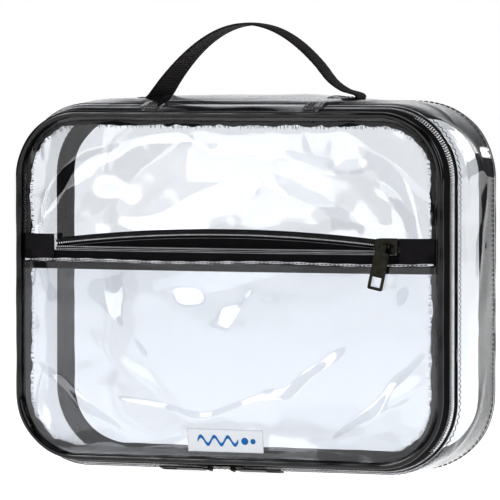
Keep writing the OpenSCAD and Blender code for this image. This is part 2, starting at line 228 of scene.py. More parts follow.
def loft_faces(rows, cols, closed, first=0):
    """Quads of a row of closed loops; open ends are shut by strips between the loop's two halves."""
    i = np.arange(rows if closed else rows - 1)[:, None]
    j = np.arange(cols)[None, :]
    a = i * cols + j
    b = i * cols + (j + 1) % cols
    c = (i + 1) % rows * cols + (j + 1) % cols
    d = (i + 1) % rows * cols + j
    faces = np.stack([a, b, c, d], axis=-1).reshape(-1, 4)
    if not closed:
        k = np.arange(cols // 2 - 1)
        cap = np.stack([k, k + 1, cols - 2 - k, cols - 1 - k], axis=-1)
        faces = np.concatenate([faces, cap, cap[:, ::-1] + (rows - 1) * cols])
    return (faces + first).tolist()


def loft(name, loops, material, closed=False, uv=None):
    """A skin over closed loops of points, given as an array of rows by points by 3."""
    rows, cols = loops.shape[:2]
    flat_uv = None if uv is None else np.asarray(uv).reshape(-1, 2)
    faces = loft_faces(rows, cols, closed)
    return new_object(name, loops.reshape(-1, 3), faces, material, flat_uv)


def shell(name, outer, inner, material, u, v, closed=False):
    """A thin closed sheet; inner is its other face or how far back that is. u and v place the weave on it."""
    if np.isscalar(inner):
        inner = outer + np.array([0, inner, 0])
    loops = np.concatenate([outer, inner[:, ::-1]], axis=1)
    uv = grid(u, v)
    return loft(name, loops, material, closed, np.concatenate([uv, uv[:, ::-1]], axis=1))


def unit(rows):
    return rows / (np.linalg.norm(rows, axis=1, keepdims=True) + 1e-12)


def tube_loops(path, radius, sides=6, up=None):
    """Loops of a round tube along a path; radius is one number or one for each point."""
    path = np.asarray(path, float)
    ahead = unit(np.gradient(path, axis=0))
    if up is None:
        up = np.broadcast_to((0.13, 0.31, 0.94) if abs(ahead[0][2]) < 0.9 else (0.94, 0.31, 0.13), path.shape)
    side = unit(np.cross(ahead, up))
    over = np.cross(side, ahead)
    turn = np.arange(sides) * 2 * math.pi / sides
    wide = np.broadcast_to(np.asarray(radius, float), len(path))[:, None, None]
    ring = side[:, None, :] * np.cos(turn)[None, :, None] + over[:, None, :] * np.sin(turn)[None, :, None]
    return path[:, None, :] + wide * ring


def strands(name, paths, radius, material, sides=6):
    """Many short tubes with thin ends, such as stitches or fibres, as one object."""
    points, faces, count = [], [], 0
    for path in paths:
        size = np.full(len(path), radius)
        size[[0, -1]] *= 0.35
        loops = tube_loops(path, size, sides)
        points.append(loops.reshape(-1, 3))
        faces += loft_faces(len(path), sides, False, count)
        count += len(path) * sides
    return new_object(name, np.concatenate(points), faces, material)


def stitch(start, end, lift):
    """One stitch between two points: it dips into the sheet at both ends. lift is a vector."""
    start, end, lift = map(np.asarray, (start, end, lift))
    return np.array([
        start - lift * 0.6,
        start + lift * 0.7,
        (start + end) / 2 + lift,
        end + lift * 0.7,
        end - lift * 0.6,
    ])


def stitch_row(place, start, end, pitch, share=0.68):
    """Stitches along a line: place(s) gives the points, place(s, True) the way out of the sheet."""
    marks = np.arange(start, end - pitch, pitch)
    a = place(marks)
    b = place(marks + pitch * share)
    lift = place(marks, True)
    return [stitch(a[i], b[i], lift[i]) for i in range(len(marks))]


# ---- Materials ----


class Shader:
    """The node tree of a material or a world, with short calls for adding and linking nodes."""

    def __init__(self, owner, output="OutputMaterial"):
        owner.use_nodes = True
        self.owner = owner
        self.tree = owner.node_tree
        self.tree.nodes.clear()
        self.out = self.add(output)

    def add(self, kind, **settings):
        made = self.tree.nodes.new("ShaderNode" + kind)
        for key, value in settings.items():
            setattr(made, key, value)
        return made

    def fill(self, sockets, values):
        """Gives each socket its value; a value that is itself a socket is linked."""
        for socket, value in zip(sockets, values):
            if isinstance(value, bpy.types.NodeSocket):
                self.tree.links.new(value, socket)
            else:
                socket.default_value = value

    def put(self, node, **values):
        """Fills sockets by name, with spaces written as underscores."""
        self.fill([node.inputs[key.replace("_", " ")] for key in values], values.values())
        return node

    def math(self, operation, a, b):
        made = self.add("Math", operation=operation)
        self.fill(made.inputs, (a, b))
        return made.outputs[0]

    def mix(self, share, first, second):
        made = self.add("MixShader")
        self.fill(made.inputs, (share, first.outputs[0], second.outputs[0]))
        return made

    def ramp(self, value, low, high, dark, light):
        made = self.add("ValToRGB")
        first, last = made.color_ramp.elements
        first.position = low
        last.position = high
        first.color = (*dark, 1)
        last.color = (*light, 1)
        self.tree.links.new(value, made.inputs[0])
        return made.outputs[0]

    def spread(self, value, low, high):
        """Maps 0 to 1 onto low to high."""
        made = self.add("MapRange")
        self.put(made, Value=value, To_Min=low, To_Max=high)
        return made.outputs[0]

    def noise(self, scale, detail=3.0, where=None):
        made = self.add("TexNoise")
        self.put(made, Scale=scale, Detail=detail, Vector=where or self.where("Object"))
        return made.outputs["Fac"]

    def where(self, kind):
        return self.add("TexCoord").outputs[kind]

    def bump(self, height, distance, strength=1.0):
        return self.put(self.add("Bump"), Height=height, Distance=distance, Strength=strength).outputs[0]

    def done(self, node):
        self.tree.links.new(node.outputs[0], self.out.inputs["Surface"])
        return self.owner


def new_shader(name):
    return Shader(bpy.data.materials.new(name))


def waves(shader, where, pitch, direction):
    """Bands of one period each pitch, from 0 to 1."""
    made = shader.add("TexWave", wave_type="BANDS", bands_direction=direction)
    shader.put(made, Scale=math.pi / 10 / pitch, Vector=where)
    return made.outputs["Fac"]


def weave_material(name, pitch, dark, light, kind="UV", turn=45, roughness=0.62, depth=0.16 * MM):
    """Two crossed sets of threads, their crowns painted lighter as a painted highlight, with little shine."""
    s = new_shader(name)
    mapped = s.add("Mapping")
    s.put(mapped, Vector=s.where(kind), Rotation=(0, 0, math.radians(turn)))
    warp = waves(s, mapped.outputs[0], pitch, "X")
    weft = waves(s, mapped.outputs[0], pitch, "Y" if kind == "UV" else "Z")
    cross = s.math("MULTIPLY", warp, weft)
    fibre = s.noise(2600, 2)
    height = s.math("ADD", cross, s.math("MULTIPLY", fibre, 0.35))
    # Thread crowns painted lighter: painted highlight, with random tone from the noise
    crown_highlight_and_tone = s.math("ADD", cross, s.math("MULTIPLY", s.noise(160, 3), 0.35))
    surface = s.add("BsdfPrincipled")
    s.put(
        surface,
        Base_Color=s.ramp(crown_highlight_and_tone, 0.25, 1.05, dark, light),
        Roughness=s.spread(fibre, roughness - 0.1, roughness + 0.12),
        Normal=s.bump(height, depth),
        Specular_IOR_Level=0.12,
    )
    return s.done(surface)


def webbing_material(name):
    """Ribs across the width, each with a slanting grain, painted lighter where they stand up as a painted
    highlight.
    """
    s = new_shader(name)
    ribs = waves(s, s.where("UV"), RIB_PITCH, "X")
    mapped = s.add("Mapping")
    s.put(mapped, Vector=s.where("UV"), Rotation=(0, 0, math.radians(32)))
    grain = waves(s, mapped.outputs[0], 0.75 * MM, "X")
    height = s.math("ADD", s.math("MULTIPLY", ribs, 0.8), s.math("MULTIPLY", grain, 0.5))
    fibre = s.noise(2200, 2)
    # Raised ribs and grain painted lighter: painted highlight, with random fibre tone
    crown_highlight_and_tone = s.math("ADD", s.math("MULTIPLY", height, 0.7), s.math("MULTIPLY", fibre, 0.2))
    surface = s.add("BsdfPrincipled")
    s.put(
        surface,
        Base_Color=s.ramp(crown_highlight_and_tone, 0.2, 1.05, (0.002, 0.0015, 0.0015), (0.045, 0.035, 0.033)),
        Roughness=s.spread(fibre, 0.5, 0.75),
        Normal=s.bump(s.math("ADD", height, s.math("MULTIPLY", fibre, 0.1)), 0.3 * MM),
        Specular_IOR_Level=0.22,
    )
    return s.done(surface)


# The black of dyed vinyl and tape, the depth of the finest bump, and the film's mirror share face on
INK = (0.002, 0.002, 0.003)
FINE = 0.02 * MM
MIRROR_SHARE = 0.05


def vinyl_material(name, tint, haze=0.006, wave=0.5):
    """Clear glossy film: a mirror that grows towards its edges over a see-through tint, with a faint haze."""
    s = new_shader(name)
    normal = s.bump(s.noise(24, 1.0), 2.0 * MM, wave)
    through = s.put(s.add("BsdfTransparent"), Color=(*tint, 1))
    mirror = s.add("BsdfGlossy")
    s.put(mirror, Color=(1, 1, 1, 1), Roughness=s.spread(s.noise(30, 3), 0.01, 0.06), Normal=normal)
    facing = s.put(s.add("LayerWeight"), Blend=0.5, Normal=normal).outputs["Facing"]
    growth = s.math("MULTIPLY", s.math("POWER", facing, 5.0), 0.95 - MIRROR_SHARE)
    share = s.math("ADD", growth, MIRROR_SHARE)
    milk = s.put(s.add("BsdfTranslucent"), Color=(0.86, 0.88, 0.92, 1))
    cloud = s.spread(s.noise(18, 4), haze * 0.4, haze * 1.6)
    return s.done(s.mix(cloud, s.mix(share, through, mirror), milk))


def gloss_material(name, colour, roughness, bump_size, bump_scale, coat=0.4):
    """Smooth soft plastic with a slight wave and worn patches in its gloss."""
    s = new_shader(name)
    surface = s.add("BsdfPrincipled")
    s.put(
        surface,
        Base_Color=s.ramp(s.noise(240, 3), 0.3, 0.75, colour, tuple(c * 1.9 + 0.004 for c in colour)),
        Roughness=s.spread(s.noise(70, 4), roughness * 0.7, roughness * 1.6),
        Coat_Weight=coat,
        Coat_Roughness=0.06,
        Normal=s.bump(s.noise(bump_scale, 3), bump_size, 0.7),
    )
    return s.done(surface)


def metal_material(name, colour, roughness):
    """Dark plated metal, brushed lightly, a little brighter where it rubs."""
    s = new_shader(name)
    mapped = s.put(s.add("Mapping"), Vector=s.where("Object"), Scale=(1.0, 1.0, 9.0))
    grain = s.noise(900, 3, mapped.outputs[0])
    rub = s.noise(260, 4)
    surface = s.add("BsdfPrincipled")
    s.put(
        surface,
        Base_Color=s.ramp(rub, 0.35, 0.8, colour, tuple(c * 2.1 for c in colour)),
        Metallic=0.85,
        Roughness=s.spread(grain, roughness * 0.75, roughness * 1.35),
        Normal=s.bump(grain, FINE, 0.5),
    )
    return s.done(surface)


FILM = vinyl_material("clear_film", (0.955, 0.962, 0.972))
POCKET_FILM = vinyl_material("clear_pocket_film", (0.95, 0.957, 0.97), 0.008, 0.8)
# Pale grey standing in for light caught on the clear film's edges: painted highlight
FILM_EDGE_HIGHLIGHT = gloss_material("film_edge_painted_highlight", (0.49, 0.49, 0.52), 0.18, 0.08 * MM, 500, 0.8)
PIPING = gloss_material("piping_vinyl", INK, 0.13, 0.12 * MM, 260)
TAB_VINYL = gloss_material("tab_vinyl", (0.012, 0.011, 0.013), 0.14, 0.2 * MM, 420, 0.7)
CORE = weave_material("filler_cord", 0.9 * MM, (0.05, 0.05, 0.05), (0.16, 0.16, 0.16), "Object")
TAPE = weave_material("zip_tape", 0.9 * MM, INK, (0.03, 0.029, 0.034))
TAB_WEAVE = weave_material("tab_weave", 1.15 * MM, INK, (0.07, 0.062, 0.07), "UV", 45, 0.5, 0.3 * MM)
BINDING = weave_material("binding_tape", 1.2 * MM, INK, (0.026, 0.026, 0.032))
WEBBING = webbing_material("handle_webbing")
COIL = gloss_material("coil_nylon", (0.006, 0.006, 0.007), 0.24, FINE, 900, 0.2)
LIGHT_COIL = gloss_material("coil_nylon_pocket", (0.02, 0.02, 0.022), 0.2, FINE, 900, 0.4)
# Near-white tooth tips: painted highlight on the black nylon coil
TIP_HIGHLIGHT = gloss_material("tooth_tip_painted_highlight", (0.86, 0.85, 0.87), 0.25, FINE, 900, 0.5)
DIM_TIP_HIGHLIGHT = gloss_material("main_zip_tip_painted_highlight", (0.74, 0.74, 0.76), 0.25, FINE, 900, 0.5)
THREAD = gloss_material("black_thread", (0.005, 0.005, 0.006), 0.45, 0.03 * MM, 2500, 0.0)
# Pale grey thread: painted highlight on the stitches of the pocket zip and the zip end loops
HIGHLIT_THREAD = gloss_material("thread_painted_highlight", (0.55, 0.54, 0.57), 0.4, 0.03 * MM, 2500, 0.0)
METAL = metal_material("gunmetal", (0.028, 0.027, 0.021), 0.3)


def satin(name, dark, light, depth):
    return weave_material(name, 0.35 * MM, dark, light, "UV", 0, 0.4, depth)


LABEL_CLOTH = satin("label_satin", (0.76, 0.78, 0.82), (0.90, 0.92, 0.95), 0.05 * MM)
LABEL_BLUE = satin("label_blue", (0.02, 0.16, 0.42), (0.05, 0.32, 0.62), 0.04 * MM)


def own(obj, body, slot, *nodes):
    """The piece rides on a body and stands for CAD nodes, which it hides; slot is not used."""
    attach(obj, body)
    if nodes:
        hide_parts(*nodes)
    return obj


def dress(node, material):
    """Shows a CAD shape as it is, in one material."""
    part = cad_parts[node]
    part.data.materials.clear()
    part.data.materials.append(material)
    return part


def shut_sheet(obj):
    """Gives the pocket sheet, or a piece sewn to it, a mesh of its own."""
    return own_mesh(obj)


# ---- Clear sheets ----


def half_width(z, width, height, radius):
    """Half width of a round-cornered panel at a height."""
    drop = np.maximum(0, np.abs(z - MID_Z) - (height / 2 - radius))
    return width / 2 - radius + np.sqrt(np.maximum(0, radius**2 - drop**2))


def folds(x, z, ridges):
    """Height of soft creases, whose rows are listed below."""
    total = np.zeros_like(x)
    for px, pz, slope, length, width, height in ridges:
        turn = math.radians(slope)
        dx = x - px * MM
        dz = z - pz * MM
        along = (dx * math.cos(turn) + dz * math.sin(turn)) / (length * MM)
        bow = 0.08 * length * MM * along * np.sin(along * 3)
        across = (dz * math.cos(turn) - dx * math.sin(turn) + bow) / (width * MM)
        total += height * MM * np.exp(-(along**4)) * np.exp(-np.abs(across) ** 1.3)
    return total


# Creases: middle in X and Z, slope in degrees, length, width and height, all lengths in millimetres
FRONT_FOLDS = [
    (-105, 205, 38, 40, 6, 1.6),
    (-60, 218, 12, 55, 5, 1.1),
    (30, 212, -7, 60, 6, 1.2),
    (112, 200, -42, 42, 6, 1.5),
    (126, 172, -70, 30, 5, 1.3),
    (-128, 178, 66, 30, 5, 1.1),
    (-20, 182, 24, 45, 8, 0.9),
    (70, 178, -28, 38, 7, 0.9),
]
POCKET_FOLDS = [
    (-108, 48, -42, 40, 5, 1.8),
    (-88, 34, -24, 40, 4.2, 1.4),
    (-60, 80, -52, 34, 6, 1.3),
    (-40, 40, -12, 44, 5, 1.2),
    (22, 46, 14, 40, 5, 1.3),
    (58, 60, 40, 36, 6, 1.4),
    (96, 36, 28, 40, 4.6, 1.5),
    (116, 56, 50, 36, 5.2, 1.7),
    (120, 104, 80, 30, 5, 1.1),
    (-122, 100, -82, 30, 5, 1.1),
    (10, 98, 62, 26, 7, 0.8),
]
BACK_FOLDS = [
    (-95, 190, 40, 50, 8, 1.5),
    (90, 195, -36, 50, 8, 1.5),
    (0, 120, 8, 80, 12, 1.2),
    (-90, 50, -36, 50, 8, 1.4),
    (95, 48, 34, 50, 8, 1.4),
]


def flat_panel(name, outset, y, bulge, ridges, seed, material):
    """A round-cornered sheet, bulged by bulge along Y in its middle and creased."""
    width = FRAME_W + 2 * outset
    height = FRAME_H + 2 * outset
    radius = FRAME_R + outset
    rows, cols = 100, 120
    rise = 0.5 - 0.5 * np.cos(np.linspace(0, math.pi, rows + 1))
    z = MID_Z - height / 2 + height * rise
    x = half_width(z, width, height, radius)[:, None] * np.linspace(-1, 1, cols + 1)[None, :]
    z = np.broadcast_to(z[:, None], x.shape)
    edge = (1 - np.abs(2 * (z - MID_Z) / height) ** 5) * (1 - np.abs(2 * x / width) ** 6)
    flat = grid(x, 0.0, z)
    height_of = folds(x, z, ridges) + 1.1 * MM * wobble(flat, 16, seed) + 0.08 * MM * wobble(flat, 70, seed)
    sign = 1 if bulge > 0 else -1
    depth = y + edge.clip(0, 1) ** 0.7 * (bulge + sign * height_of)
    outer = grid(x, depth, z)
    return shell(name, outer, SHEET_T, material, x, z)


front_sheet = flat_panel("front_sheet", -1.9 * MM, PANEL_Y + 0.2 * MM, 2.2 * MM, FRONT_FOLDS, 3.0, FILM)
own(front_sheet, "lid", "clear_sheet", "front_panel")

back_sheet = flat_panel(
    "back_sheet", INSET - PIPE_R - 1.9 * MM, back_low.y + 0.2 * MM, -2.4 * MM, BACK_FOLDS, 8.0, FILM
)
own(back_sheet, "case", "clear_sheet", "back_panel")

GUSSET_START_Y, start_z = on_band(0.0, GUSSET_EDGE, 0.8 * MM)[1:]
GUSSET_START_OUT = start_z - MID_Z - FRAME_H / 2
GUSSET_END_Y = gusset_high.y

# The side band's creases, right of the top middle, in millimetres: s and y at both ends, width and height
GUSSET_FOLDS = [
    (132, -24, 188, -8, 2.2, 1.5),
    (127, -22, 158, 16, 2.6, 1.4),
    (150, -21, 226, -15, 2.0, 1.0),
    (176, 26, 240, 2, 3.0, 1.1),
    (262, -20, 318, -4, 2.6, 1.1),
    (300, 18, 352, -12, 3.0, 1.3),
    (330, -18, 372, 20, 2.6, 1.1),
    (70, -18, 112, -2, 2.8, 1.0),
    (96, 20, 134, 4, 2.8, 1.0),
]


def creases(s, y):
    """Height of the side band's creases, mirrored to the left."""
    total = np.zeros_like(s)
    for s0, y0, s1, y1, width, height in GUSSET_FOLDS:
        for turn in (1, -1):
            run = np.array([s1 - s0, y1 - y0]) * MM
            ds = (s if turn > 0 else RING.length - s) - s0 * MM
            dy = y - y0 * MM
            size = math.hypot(*run)
            along = (ds * run[0] + dy * run[1]) / size**2
            across = (ds * run[1] - dy * run[0]) / size
            ridge = np.exp(-np.abs(across / (width * MM)) ** 1.3) * np.exp(-((2 * along - 1) ** 4))
            total += height * MM * ridge
    return total


def gusset_point(s, y, lift=0.0):
    """A point of the side band's outer face: s round the case, y back from the front."""
    s, y = np.broadcast_arrays(np.asarray(s, float), np.asarray(y, float))
    short = INSET - (GUSSET_START_OUT + (y - GUSSET_START_Y) * math.tan(SLOPE))
    round_over = 1.2 * MM
    out = INSET - (short + np.sqrt(short**2 + round_over**2)) / 2
    plain = RING.place(s, out, y)
    across = ((y - GUSSET_START_Y) / (GUSSET_END_Y - GUSSET_START_Y)).clip(0, 1)
    middle = np.sin(math.pi * across) ** 0.8
    top = (plain[..., 2] > TOP_Z - 12 * MM) * np.exp(-(plain[..., 0] / 0.082) ** 4)
    under = 1 / (1 + np.exp((plain[..., 2] - 0.012) / 0.003))
    slow = wobble(plain, 13, 5.0)
    quick = wobble(plain, 42, 9.0)
    pucker = np.sin(s / (17 * MM) + 2.0 * slow) * np.exp(-across * 7)
    swell = middle * (4.0 * MM * top + 1.7 * MM * slow + 0.6 * MM * quick + 0.5 * MM)
    swell = swell + 0.35 * MM * pucker * middle**0.5
    swell = swell + middle**0.4 * creases(s, y)
    swell = np.where(under > 0.02, (1 - under) * swell - under * np.abs(swell) * 0.6, swell)
    return RING.place(s, out + swell + lift, y)


def make_gusset():
    s = np.arange(0, RING.length, 2.5 * MM)[:, None]
    y = steps(GUSSET_START_Y, GUSSET_END_Y, 2.2 * MM)[None, :]
    outer = gusset_point(s, y)
    inner = gusset_point(s, y, -SHEET_T)
    sheet = shell("gusset_sheet", outer, inner, FILM, s, y, closed=True)
    own(sheet, "case", "clear_sheet", "gusset")


make_gusset()


def make_hinge():
    """The clear strip between the two zip ends."""
    s = steps(-HINGE_HALF, HINGE_HALF, 2.5 * MM)[:, None]
    u = steps(2.9 * MM, GUSSET_EDGE + 1.5 * MM, 0.9 * MM)[None, :]
    middle = np.sin(math.pi * (u - u.min()) / (u.max() - u.min()))
    crown = 1.1 * MM * middle * (1 - (s / HINGE_HALF) ** 4)
    ripple = 0.35 * MM * np.sin(s / (9 * MM)) * middle
    outer = on_band(s, u, 1.3 * MM + crown + ripple)
    inner = on_band(s, u, 1.3 * MM - SHEET_T + crown + ripple)
    strip = shell("hinge_sheet", outer, inner, FILM, s, u)
    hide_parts("hinge_strip")
    low = on_band(0.0, GUSSET_EDGE, 0)
    high = on_band(0.0, 3.0 * MM, 0)
    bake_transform(strip)


make_hinge()

# ---- Piping, cores and bindings ----


def piping(name, outset, y, node, body, seed):
    """A glossy round piping with a soft wave and a lap seam."""
    s = np.arange(0, RING.length, 2.0 * MM)
    turn = np.arange(18) * 2 * math.pi / 18
    wave = 0.10 * MM * np.sin(s / (11 * MM) + seed) + 0.07 * MM * np.sin(s / (4.3 * MM))
    seam = RING.length / 2 + 0.047
    lap = 0.22 * MM * np.exp(-(((s - seam) / (5 * MM)) ** 6))
    radius = (PIPE_R - 0.18 * MM + wave + lap)[:, None]
    out = outset + radius * np.cos(turn)[None, :]
    depth = y + radius * np.sin(turn)[None, :]
    loops = RING.place(s[:, None], out, depth)
    uv = grid(s[:, None], turn[None, :] * PIPE_R)
    own(loft(name, loops, PIPING, closed=True, uv=uv), body, "gloss_piping", node)


piping("front_piping_cover", 0.0, FRONT_Y, "front_piping", "lid", 0.3)
piping("rear_piping_cover", INSET - PIPE_R, REAR_Y, "rear_piping", "case", 1.9)

BINDING_W = 7.2 * MM
FRINGE_REACH = 2.4 * MM


def front_binding():
    """The woven band inside the front seam, whose cut inner edge is uneven."""
    s = np.arange(0, RING.length, 1.6 * MM)[:, None]
    y = FRONT_Y + 2.45 * MM
    line = RING.place(s, 0.0, y)
    ragged = 1.1 * MM * (wobble(line, 60, 2.0) + wobble(line, 260, 2.0))
    share = np.linspace(0, 1, 7)[None, :]
    out = (ragged - BINDING_W) * (1 - share) + 0.2 * MM * share
    lie = 0.25 * MM * wobble(line, 90, 6.0) * (1 - share)
    front = RING.place(s, out, y + lie)
    back = RING.place(s, out, y + 0.7 * MM + lie)
    tape = shell("front_binding_tape", front, back, BINDING, s, out, closed=True)
    own(tape, "lid", "woven_tape", "front_binding")


def fringe():
    """Loose thread ends along the band's cut inner edge."""
    draw = random.Random(5)
    y = FRONT_Y + 2.95 * MM
    paths = []
    for s in np.arange(0, RING.length, 1.3 * MM):
        s += draw.uniform(-1, 1) * MM
        reach = draw.uniform(0.3, 1.0) * FRINGE_REACH
        lean = draw.uniform(-1, 1) * MM
        base = RING.place(s, 1.2 * MM - BINDING_W, y)
        mid = RING.place(s + lean * 0.4, -BINDING_W - reach * 0.5, y + draw.uniform(0, 0.2) * MM)
        tip = RING.place(s + lean, -BINDING_W - reach, y + draw.uniform(0.1, 0.6) * MM)
        paths.append(np.array([base, mid, tip]))
    own(strands("front_binding_fringe", paths, 0.2 * MM, THREAD, 4), "lid", "woven_tape")


front_binding()
fringe()


def rear_binding():
    """The L-shaped band inside the rear seam."""
    s = np.arange(0, RING.length, 2.0 * MM)[:, None]
    line = RING.place(s, 0.0, REAR_Y)
    ragged = 0.5 * MM * wobble(line, 80, 6.0)
    outer_out = INSET - 1.6 * MM
    back_y = REAR_Y - 2.5 * MM
    leg = np.linspace(0, 1, 6)
    inner_out = -2.6 * MM
    outs = np.concatenate([inner_out + (outer_out - inner_out) * leg, np.full(6, outer_out)])
    depths = np.concatenate([np.full(6, back_y), back_y - 0.9 * MM - 7.4 * MM * leg])
    pull = np.concatenate([1 - leg, np.zeros(6)])
    forward = np.concatenate([np.zeros(6), leg])
    out = outs[None, :] + ragged * pull[None, :]
    depth = depths[None, :] + ragged * forward[None, :]
    outer = RING.place(s, out, depth)
    inner = RING.place(s, out - 0.5 * MM * (1 - pull[None, :]), depth - 0.5 * MM * (pull[None, :] + 0.2))
    tape = shell("rear_binding_tape", outer, inner, BINDING, s, (outs + depths)[None, :], closed=True)
    own(tape, "case", "woven_tape", "rear_binding")


rear_binding()

for core in ("front_piping_core", "rear_piping_core"):
    dress(core, CORE)

# ---- Main zip ----


def zip_tape(half, u_range, body, seed):
    """A flat tape on the sloped band, with a slight wave."""
    s = steps(ZIP_START, ZIP_END, 2.2 * MM)[:, None]
    u = np.linspace(u_range[0], u_range[1], 9)[None, :]
    line = on_band(s, u.mean(), 0)
    lie = 0.14 * MM * wobble(line, 90, seed)
    outer = on_band(s, u, 0.27 * MM + lie)
    inner = on_band(s, u, -0.27 * MM + lie)
    own(shell(half + "_zip_ribbon", outer, inner, TAPE, s, u), body, "woven_tape", half + "_zip_tape")


zip_tape("lid", LID_TAPE, "lid", 1.0)
zip_tape("gusset", GUSSET_TAPE, "case", 2.0)


def coil_wire(name, place, start, end, half_t, hand, material, half_w=COIL_HALF_W + 0.3 * MM):
    """A row of teeth: one round wire wound flat, a turn each pitch. place(s, a, b) puts it in the frame."""
    turns = int((end - start) / COIL_PITCH)
    per_turn = 10
    angle = np.linspace(0, 2 * math.pi * turns, turns * per_turn + 1)
    lean = 0.42 * MM * hand
    a = (half_w - WIRE_R) * np.cos(angle)
    b = (half_t - WIRE_R) * np.sin(angle)
    s = start + COIL_PITCH * angle / (2 * math.pi) + lean * np.cos(angle)
    path = place(s, a, b)
    middle = place(s, 0 * a, 0 * b)
    loops = tube_loops(path, WIRE_R, 6, path - middle)
    return loft(name, loops, material)


def tooth_tip_highlights(name, place, start, end, tip, rise, material):
    """Pale tips along one edge of a row of teeth, a painted highlight on the black coil; tip is the tip's two
    ends.
    """
    paths = []
    for s in np.arange(start + COIL_PITCH / 2, end, COIL_PITCH):
        low_ends = [place(s, edge, rise - 0.25 * MM) for edge in tip]
        paths.append(np.array([low_ends[0], place(s, sum(tip) / 2, rise), low_ends[1]]))
    return strands(name, paths, 0.42 * MM, material)


def on_row(u):
    return lambda s, a, b: on_band(s, u + a, b)


def sewn_line(point, lift):
    """For stitch_row: a line through point(s, rise), and the way out of the sheet, as long as lift."""
    def place(s, way_out=False):
        here = point(s, 0.0)
        return point(s, lift) - here if way_out else here
    return place


def band_line(u, v):
    return sewn_line(lambda s, rise: on_band(s, u, v + rise), 0.22 * MM)


# Each half of the main zip: name, body, middle of its row, its stitches from there, the ends of its
# painted-highlight tips, its hand
ZIP_HALVES = [
    ("lid", "lid", LID_COIL, -0.9 * MM, (0.7 * MM, 1.7 * MM), 1),
    ("gusset", "case", GUSSET_COIL, 0.9 * MM, (-1.7 * MM, -0.7 * MM), -1),
]

for half_name, half_body, row_u, chain_u, tip_ends, hand in ZIP_HALVES:
    name = half_name + "_zip_"
    row = on_row(row_u)
    wire = coil_wire(name + "teeth", row, ZIP_START, ZIP_END, 0.95 * MM, hand, COIL)
    own(wire, half_body, "zip_coil", name + "coil")
    thread = stitch_row(band_line(row_u + chain_u, 0.93 * MM), ZIP_START, ZIP_END, COIL_PITCH * 2, 0.7)
    own(strands(name + "stitches", thread, 0.17 * MM, THREAD, 4), half_body, "zip_coil")
    tip_highlights = tooth_tip_highlights(name + "tip_highlights", row, ZIP_START, ZIP_END, tip_ends, 0.8 * MM, DIM_TIP_HIGHLIGHT)
    own(tip_highlights, half_body, "zip_coil")


def edge_stitches():
    """One wavy thread along the sheet's sewn edge on the sloped band."""
    pitch = 3.6 * MM
    s = np.arange(ZIP_START, ZIP_END, pitch / 4)
    turn = s / pitch * 2 * math.pi
    u = GUSSET_EDGE + 2.1 * MM + 1.15 * MM * np.sin(turn)
    path = on_band(s, u, 1.32 * MM + 0.12 * MM * np.cos(turn))
    own(strands("gusset_seam_stitches", [path], 0.26 * MM, THREAD, 5), "case", "woven_tape")


def edge_bead():
    """The sheet's cut edge along the main zip; its pale grey is a painted highlight."""
    s = steps(ZIP_START, ZIP_END, 1.5 * MM)
    place = band_line(GUSSET_EDGE, 0.95 * MM)
    size = 0.26 * MM * (1 + 0.22 * np.sin(s / (3.1 * MM)) + 0.12 * np.sin(s / (1.3 * MM) + 1))
    loops = tube_loops(place(s), size, 6, place(s, True))
    own(loft("gusset_front_edge", loops, FILM_EDGE_HIGHLIGHT), "case", "clear_sheet")


edge_stitches()
edge_bead()

REAR_SEAM_Y = GUSSET_END_Y - 4.2 * MM
rear_line = sewn_line(lambda s, rise: gusset_point(s, REAR_SEAM_Y, 0.05 * MM + rise), 0.22 * MM)
rear_seam = stitch_row(rear_line, 0, RING.length, 3.2 * MM)
own(strands("rear_seam_stitches", rear_seam, 0.24 * MM, THREAD, 5), "case", "woven_tape")

front_line = sewn_line(lambda s, rise: RING.place(s, -4.6 * MM, PANEL_Y + 0.08 * MM - rise), 0.2 * MM)
front_seam = stitch_row(front_line, 0, RING.length, 3.0 * MM)
own(strands("front_seam_stitches", front_seam, 0.22 * MM, THREAD, 5), "lid", "woven_tape")


def zip_end_tab(name, side):
    """Glossy tab folded over the zip's end, with raised ribs and three loops of thick thread whose pale grey
    is a painted highlight.
    """
    node = "zip_end_tab_" + name
    low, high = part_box(node)
    middle = (low.x + high.x) / 2
    half = (high.x - low.x) / 2

    def face(s, u, lift=0.0):
        across = (u - 13 * MM) / (6.3 * MM)
        along = (s - middle) / half
        round_off = np.maximum(0, 1 - np.abs(across) ** 4) ** 0.5
        round_off = round_off * np.maximum(0, 1 - np.abs(along) ** 6) ** 0.5
        rib = 0.28 * MM * np.sin(s / (0.36 * MM))
        return on_band(s, u, 1.5 * MM + round_off * (2.2 * MM + rib) + lift)

    s = steps(low.x, high.x, 0.35 * MM)[:, None]
    u = np.linspace(6.7, 19.3, 26)[None, :] * MM
    inner = on_band(s, u, 1.35 * MM)
    own(shell("zip_end_cover_" + name, face(s, u), inner, TAB_VINYL, s, u), "case", "gloss_piping", node)
    outer_x = low.x if side < 0 else high.x
    loops = []
    for shift in (0.9, 2.6, 4.4):
        u_line = np.linspace(7.4, 18.6, 12) * MM
        loops.append(face(np.full(12, outer_x - side * shift * MM), u_line, 0.2 * MM))
    own(strands("zip_end_bartack_" + name, loops, 0.3 * MM, HIGHLIT_THREAD), "case", "gloss_piping")


zip_end_tab("left", -1)
zip_end_tab("right", 1)

# ---- Handle ----


def smooth_path(points, count):
    """A Catmull-Rom curve through given points."""
    points = np.asarray(points, float)
    padded = np.concatenate([[2 * points[0] - points[1]], points, [2 * points[-1] - points[-2]]])
    t = np.linspace(0, len(points) - 1 - 1e-9, count)
    k = t.astype(int)
    f = (t - k)[:, None]
    a, b, c, d = (padded[k + i] for i in range(4))
    return 0.5 * (2 * b + (c - a) * f + (2 * a - 5 * b + 4 * c - d) * f**2 + (3 * b - a - 3 * c + d) * f**3)


# The rolled right end of the strap: millimetres past the foot and above the top sheet
STRAP_ROLL = [(-1.0, 8.2), (4.6, 6.4), (8.6, 5.2), (10.2, 3.4), (8.4, 1.7), (0.0, 1.2)]


